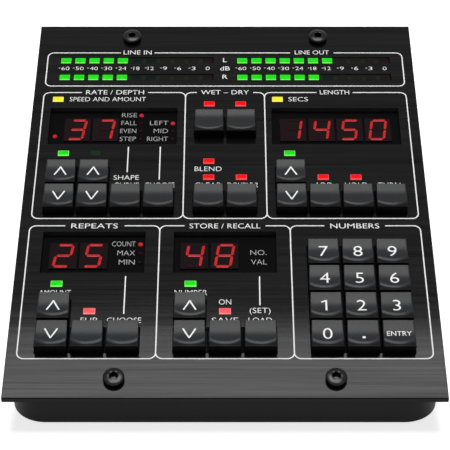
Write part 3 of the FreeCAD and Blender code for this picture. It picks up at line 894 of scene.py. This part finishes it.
window_ink_height = -panel_thickness + ink_height
dot_word_gap = 1.63
window_word_weight = -0.012
dot_words = [("RISE", -29.4, 122.3, 5.3), ("FALL", -29.4, 118.43, 5.3),
             ("EVEN", -29.4, 114.56, 5.6), ("STEP", -29.4, 110.69, 5.6),
             ("LEFT", -18.3, 118.43, 6.4), ("MID", -18.3, 114.56, 5.0),
             ("RIGHT", -18.3, 110.69, 7.2), ("COUNT", -27.8, 62.85, 7.7),
             ("MAX", -27.8, 58.98, 5.8), ("MIN", -27.8, 55.11, 5.2)]
side_words = [("NO.", 13.6, 58.1, 5.3), ("VAL", 13.6, 54.1, 5.1)]
window_words = bmesh.new()
for label, x, s, width in dot_words:
    write(window_words, label, (x - dot_word_gap, s - legend_height / 2, window_ink_height),
          legend_height, width, window_word_weight, ends_there=True)
for label, x, s, width in side_words:
    write(window_words, label, (x, s, window_ink_height), legend_height, width,
          window_word_weight, ends_there=True)
new_piece("window_words", window_words, "chassis", "white_print", smoked_ink)

two_states("digit_bars", numbers_where("digit_bars", bar_is_lit), 0.0, lit_red, dark_red,
           "display_red", digit_strip)
lit_dots = numbers_where("dot_lamps", lambda corners: any(
    same_place(middle(corners), place) for place in lit_points))
two_states("dot_lamps", lit_dots, dot_rounding, [lit_red[0]] * 2, dark_red, "display_red",
           dot_strip)

# Panel lamps
# Small rectangular lamps stand through the panel next to the keys, cast in green, red and
# yellow resin. All are lit but one green lamp.

dark_green_lamp = (-44.4, 101.9)
pale_lamp_line = 60
lamp_rounding = 0.18
front_strip = 0.5
lit_green = lit_pair("green lamp resin", (0.006, 0.70, 0.003), (0.014, 0.84, 0.007),
                     (0.17, 0.92, 0.13), (0.28, 1.0, 0.22))
dark_green = moulded_plastic("green lamp resin, dark", (0.003, 0.011, 0.003),
                             (0.005, 0.016, 0.005), roughness=0.4, grain_size=0.3, relief=0.006,
                             specular=0.05)
lit_yellow = lit_pair("yellow lamp resin", (0.93, 0.80, 0.008), (1.0, 0.93, 0.02),
                      (0.98, 0.90, 0.12), (1.0, 0.97, 0.25))
lamp_red = lit_pair("red lamp resin", (0.93, 0.002, 0.003), (1.0, 0.006, 0.008),
                    (0.95, 0.06, 0.07), (1.0, 0.11, 0.12))
pale_red = lit_pair("pale red lamp resin", (0.95, 0.085, 0.10), (1.0, 0.13, 0.145),
                    (1.0, 0.20, 0.21), (1.0, 0.28, 0.29))
lit_greens = numbers_where("green_lamps", lambda corners: not same_place(middle(corners),
                                                                         dark_green_lamp))
two_states("green_lamps", lit_greens, lamp_rounding, lit_green, dark_green, "lamp_green",
           front_strip)
front_reds = numbers_where("red_lamps", lambda corners: middle(corners).y < pale_lamp_line)
rear_reds = numbers_where("red_lamps", lambda corners: middle(corners).y >= pale_lamp_line)
for node, name, wanted, slot, materials in (
        ("yellow_lamps", "yellow_lamps_lit", {0, 1}, "lamp_yellow", lit_yellow),
        ("red_lamps", "red_lamps_front", front_reds, "lamp_red", pale_red),
        ("red_lamps", "red_lamps_rear", rear_reds, "lamp_red", lamp_red)):
    piece = new_piece(name, lit_solids(node, wanted, lamp_rounding, front_strip), "chassis",
                      slot, *materials)
    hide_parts(node)

# Level meters
# Four bar modules, two for each meter, have eleven diffuser bars each: seven green, three
# yellow and one red. They stand through slots in the panel, with black body between them.

lit_bars = {("R", "in"): 5, ("R", "out"): 6, ("L", "in"): 5, ("L", "out"): 7}
green_bars = 7
yellow_bars = 10
bar_rounding = 0.06
widest_bar_gap = 3.0
filler_depth = 0.15
meter_black = moulded_plastic("black meter body", (0.004, 0.006, 0.004), (0.006, 0.009, 0.006),
                              roughness=0.45, grain_size=0.1, relief=0.005, specular=0.05)
unlit_yellow = moulded_plastic("yellow diffuser, dark", (0.0085, 0.008, 0.0045),
                               (0.011, 0.0105, 0.006), roughness=0.4, grain_size=0.2,
                               relief=0.005, specular=0.02)
unlit_red = moulded_plastic("red meter diffuser, dark", (0.0105, 0.0045, 0.0045),
                            (0.013, 0.0055, 0.0055), roughness=0.4, grain_size=0.2, relief=0.005,
                            specular=0.02)
unlit_green = moulded_plastic("green diffuser, dark", (0.0028, 0.0085, 0.0055),
                              (0.0036, 0.0105, 0.007), roughness=0.4, grain_size=0.2,
                              relief=0.005, specular=0.02)
dress("meter_bodies", meter_black)
bar_state = {"lit": set(), "green": set(), "yellow": set(), "red": set()}
bars_in_meter = bars_in_row // 2
for number in range(len(meter_places)):
    row = "R" if number < bars_in_row else "L"
    meter = "in" if number % bars_in_row < bars_in_meter else "out"
    step = number % bars_in_meter
    if step < lit_bars[row, meter]:
        bar_state["lit"].add(number)
    elif step < green_bars:
        bar_state["green"].add(number)
    else:
        bar_state["yellow" if step < yellow_bars else "red"].add(number)
for state, materials in (("lit", lit_green), ("green", [unlit_green] * 2),
                         ("yellow", [unlit_yellow] * 2), ("red", [unlit_red] * 2)):
    piece = new_piece("meter_bars_" + state,
                      lit_solids("meter_bars", bar_state[state], bar_rounding, front_strip),
                      "chassis", "meter_green", *materials)
    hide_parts("meter_bars")

fillers = bmesh.new()
meter_boxes = solids_of("meter_bars")
for left, right in zip(meter_boxes, meter_boxes[1:]):
    if 0 < right[0].x - left[1].x < widest_bar_gap:
        flat_box(fillers, (left[1].x, left[0].y), (right[0].x, left[1].y),
                 left[1].z - filler_depth)
new_piece("meter_fillers", fillers, "chassis", "display_plastic", meter_black)

# Panel screws
# Four button-head machine screws with a hexagon socket hold the panel. They are turned from
# steel and blackened, with fine streaks from the turning.

socket_width = 2.5
socket_depth = 1.3
socket_mouth = 1.55
mouth_drop = 0.24
half_hexagon = math.radians(30)
shank_radius = 2.0
head_sides = 48
crown_steps = 3
side_steps = 6
shoulder_start = math.radians(20)
shoulder_turn = math.radians(70)
seam_distance = 0.001
crown_radius = 2.75
crown_curve = 12.0
head_side = 1.15
head_radius = 3.35


def screw_profile(corners):
    """Half section of one screw: distance from its axis and height."""
    points = []
    for step in range(crown_steps + 1):
        radius = socket_mouth + (crown_radius - socket_mouth) * step / crown_steps
        points.append((radius, corners[1].z - radius ** 2 / (2 * crown_curve)))
    shoulder = points[-1][1]
    for step in range(1, side_steps + 1):
        turn = shoulder_start + shoulder_turn * step / side_steps
        points.append((crown_radius + (head_radius - crown_radius) * math.sin(turn),
                       head_side + (shoulder - head_side) * math.cos(turn)))
    return points + [(head_radius, 0), (shank_radius, 0), (shank_radius, corners[0].z)]


def screw_mesh(corners):
    """Spun head and shank, with a hexagon socket sunk into the crown."""
    mesh = bmesh.new()
    chain = [mesh.verts.new((x, 0, z)) for x, z in screw_profile(corners)]
    edges = [mesh.edges.new(pair) for pair in zip(chain, chain[1:])]
    bmesh.ops.spin(mesh, geom=chain + edges, cent=(0, 0, 0), axis=(0, 0, 1), dvec=(0, 0, 0),
                   angle=math.radians(360), steps=head_sides, use_merge=True)
    bmesh.ops.remove_doubles(mesh, verts=mesh.verts, dist=seam_distance)
    open_edges = [edge for edge in mesh.edges if edge.is_boundary]
    mouth = [edge for edge in open_edges if edge.verts[0].co.z > 0]
    foot = [edge for edge in open_edges if edge.verts[0].co.z < 0]
    bmesh.ops.contextual_create(mesh, geom=foot)
    ring = bmesh.ops.create_circle(mesh, segments=6, cap_ends=False,
                                   radius=socket_width / 2 / math.cos(half_hexagon),
                                   matrix=Matrix.Translation((0, 0, corners[1].z - mouth_drop)))
    rim = list({edge for vertex in ring["verts"] for edge in vertex.link_edges})
    bmesh.ops.bridge_loops(mesh, edges=mouth + rim)
    rim = [edge for edge in mesh.edges if edge.is_boundary]
    wall = bmesh.ops.extrude_edge_only(mesh, edges=rim)["geom"]
    low = [v for v in wall if isinstance(v, bmesh.types.BMVert)]
    bmesh.ops.translate(mesh, verts=low, vec=(0, 0, -socket_depth))
    bmesh.ops.contextual_create(mesh, geom=[e for e in mesh.edges if e.is_boundary])
    bmesh.ops.recalc_face_normals(mesh, faces=mesh.faces[:])
    return mesh


def turned_metal(name, dark, light, roughness):
    """Machined or plated metal: fine streaks in its colour, roughness and relief."""
    material, tree, shader = new_material(name, light, roughness, metallic=1.0)
    streaks = placed(tree, brushed, {"Scratch Width": 0.0001, "Scratch Length": 0.0015,
                                     "Dark": dark, "Dark Tone": 0.35,
                                     "Light": light, "Light Tone": 0.65})
    feed(shader, {"Base Color": streaks["Color"],
                  "Roughness": spread(tree, streaks["Tone"], roughness - 0.08,
                                      roughness + 0.08),
                  "Normal": raised(tree, streaks["Height"], strength=0.3, depth=0.01)})
    return material


black_steel = turned_metal("blackened steel", (0.0145, 0.0145, 0.0145),
                           (0.0215, 0.0215, 0.022), roughness=0.22)
for number, corners in enumerate(solids_of("faceplate_screws")):
    mesh = screw_mesh(corners)
    bmesh.ops.translate(mesh, verts=mesh.verts, vec=(*middle(corners).xy, 0))
    piece = new_piece("panel_screw_" + str(number + 1), mesh, "chassis", "black_steel",
                      black_steel, smooth=True)
    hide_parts("faceplate_screws")

# Base and feet
# The lower housing is one deep tray moulded in charcoal plastic with a fine spark-eroded
# grain. Four soft black rubber discs are glued under its corners.

foot_rounding = 0.5
base_plastic = moulded_plastic("charcoal moulded plastic", (0.0080, 0.0080, 0.0083),
                               (0.0102, 0.0102, 0.0106), roughness=0.5, grain_size=0.35,
                               relief=0.03, specular=0.1)
foot_rubber = moulded_plastic("soft black rubber", (0.008, 0.008, 0.008), (0.014, 0.014, 0.014),
                              roughness=0.8, grain_size=0.4, relief=0.02, specular=0.3)
dress("base_shell", base_plastic)
feet = new_piece("round_feet", copied_solids("rubber_feet", {0, 1, 2, 3}, foot_rounding),
                 "chassis", "foot_rubber", foot_rubber)
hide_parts("rubber_feet")

# Circuit board and what it carries
# A green board hangs under the panel on six pillars. It carries a switch for each key, the
# display drivers, the processor and the socket that the rear opening shows.

board_green = moulded_plastic("green solder mask", (0.006, 0.05, 0.02), (0.01, 0.085, 0.03),
                              roughness=0.3, grain_size=1.5, relief=0.02)
chip_plastic = moulded_plastic("black chip resin", (0.01, 0.01, 0.01), (0.018, 0.018, 0.018),
                               roughness=0.55, grain_size=0.1, relief=0.01)
switch_plastic = moulded_plastic("dark switch plastic", (0.02, 0.02, 0.022), (0.028, 0.028, 0.03),
                                 roughness=0.4, grain_size=0.1, relief=0.008)
plated_steel = turned_metal("plated steel", (0.42, 0.43, 0.44), (0.62, 0.62, 0.63),
                            roughness=0.28)
brass = turned_metal("turned brass", (0.50, 0.36, 0.13), (0.68, 0.50, 0.20), roughness=0.3)
for node, material in (("main_board", board_green), ("processor_chip", chip_plastic),
                       ("driver_chips", chip_plastic), ("key_switches", switch_plastic),
                       ("data_socket", plated_steel), ("board_screws", plated_steel),
                       ("board_standoffs", brass), ("threaded_inserts", brass)):
    dress(node, material)

# Floor, light and camera
# A pale matt floor, an even white room and one large soft lamp above. The camera looks down
# on the panel from in front.

floor_half_size = 3.0
floor_glow = 0.77
room_light = 0.1
lamp_place = (0, 0.102, 1.0)
lamp_width = 0.56
lamp_depth = 0.54
lamp_radiance_watts = 10.0
image_width = 36.0
lens_length = 130.24
nearest_view = 0.01
camera_place = (0, -282.5, 407.5)
camera_tilt = math.radians(90 - 35.69)


def rays_that_show(tree):
    """1 for rays that see the background: from the camera, by gloss or through glass."""
    path = tree.nodes.new("ShaderNodeLightPath").outputs
    seen = new_node(tree, "Math", {0: path["Is Camera Ray"], 1: path["Is Glossy Ray"]},
                    operation="MAXIMUM")
    return new_node(tree, "Math", {0: seen, 1: path["Is Transmission Ray"]},
                    operation="MAXIMUM")


def pale_floor():
    """Matt floor that looks nearly white and keeps the object's shadow."""
    material, tree, shader = new_material("pale matt floor", (0.8, 0.8, 0.8), roughness=0.7,
                                          specular=0.1)
    patches = placed(tree, uneven, {"Scale": 30.0, "Detail": 4.0})
    glow = new_node(tree, "Math", {0: rays_that_show(tree), 1: floor_glow},
                    operation="MULTIPLY")
    feed(shader, {"Base Color": spread(tree, patches["Tone"], 0.78, 0.82, start=0.0, end=1.0),
                  "Emission Color": (1, 1, 1), "Emission Strength": glow})
    return material


ground = bmesh.new()
bmesh.ops.create_grid(ground, x_segments=1, y_segments=1, size=floor_half_size)
floor_data = bpy.data.meshes.new("floor")
ground.to_mesh(floor_data)
ground.free()
floor_data.materials.append(pale_floor())
floor = bpy.data.objects.new("floor", floor_data)
bpy.context.scene.collection.objects.link(floor)

room = bpy.data.worlds.new("white room")
room.use_nodes = True
background = room.node_tree.nodes["Background"]
shown = rays_that_show(room.node_tree)
feed(background, {"Color": (1, 1, 1),
                  "Strength": spread(room.node_tree, shown, room_light, 1.0, start=0.0,
                                     end=1.0)})
bpy.context.scene.world = room

soft_lamp = bpy.data.lights.new("soft lamp", "AREA")
soft_lamp.shape = "RECTANGLE"
soft_lamp.size = lamp_width
soft_lamp.size_y = lamp_depth
soft_lamp.energy = lamp_radiance_watts * math.pi * lamp_width * lamp_depth
lamp_holder = bpy.data.objects.new("soft lamp", soft_lamp)
lamp_holder.location = lamp_place
bpy.context.scene.collection.objects.link(lamp_holder)

lens = bpy.data.cameras.new("camera")
lens.sensor_width = image_width
lens.lens = lens_length
lens.clip_start = nearest_view
camera = bpy.data.objects.new("camera", lens)
camera.location = panel @ Vector(camera_place)
camera.rotation_euler = (camera_tilt, 0, 0)
bpy.context.scene.collection.objects.link(camera)
bpy.context.scene.camera = camera
bpy.context.scene.view_settings.view_transform = "Standard"
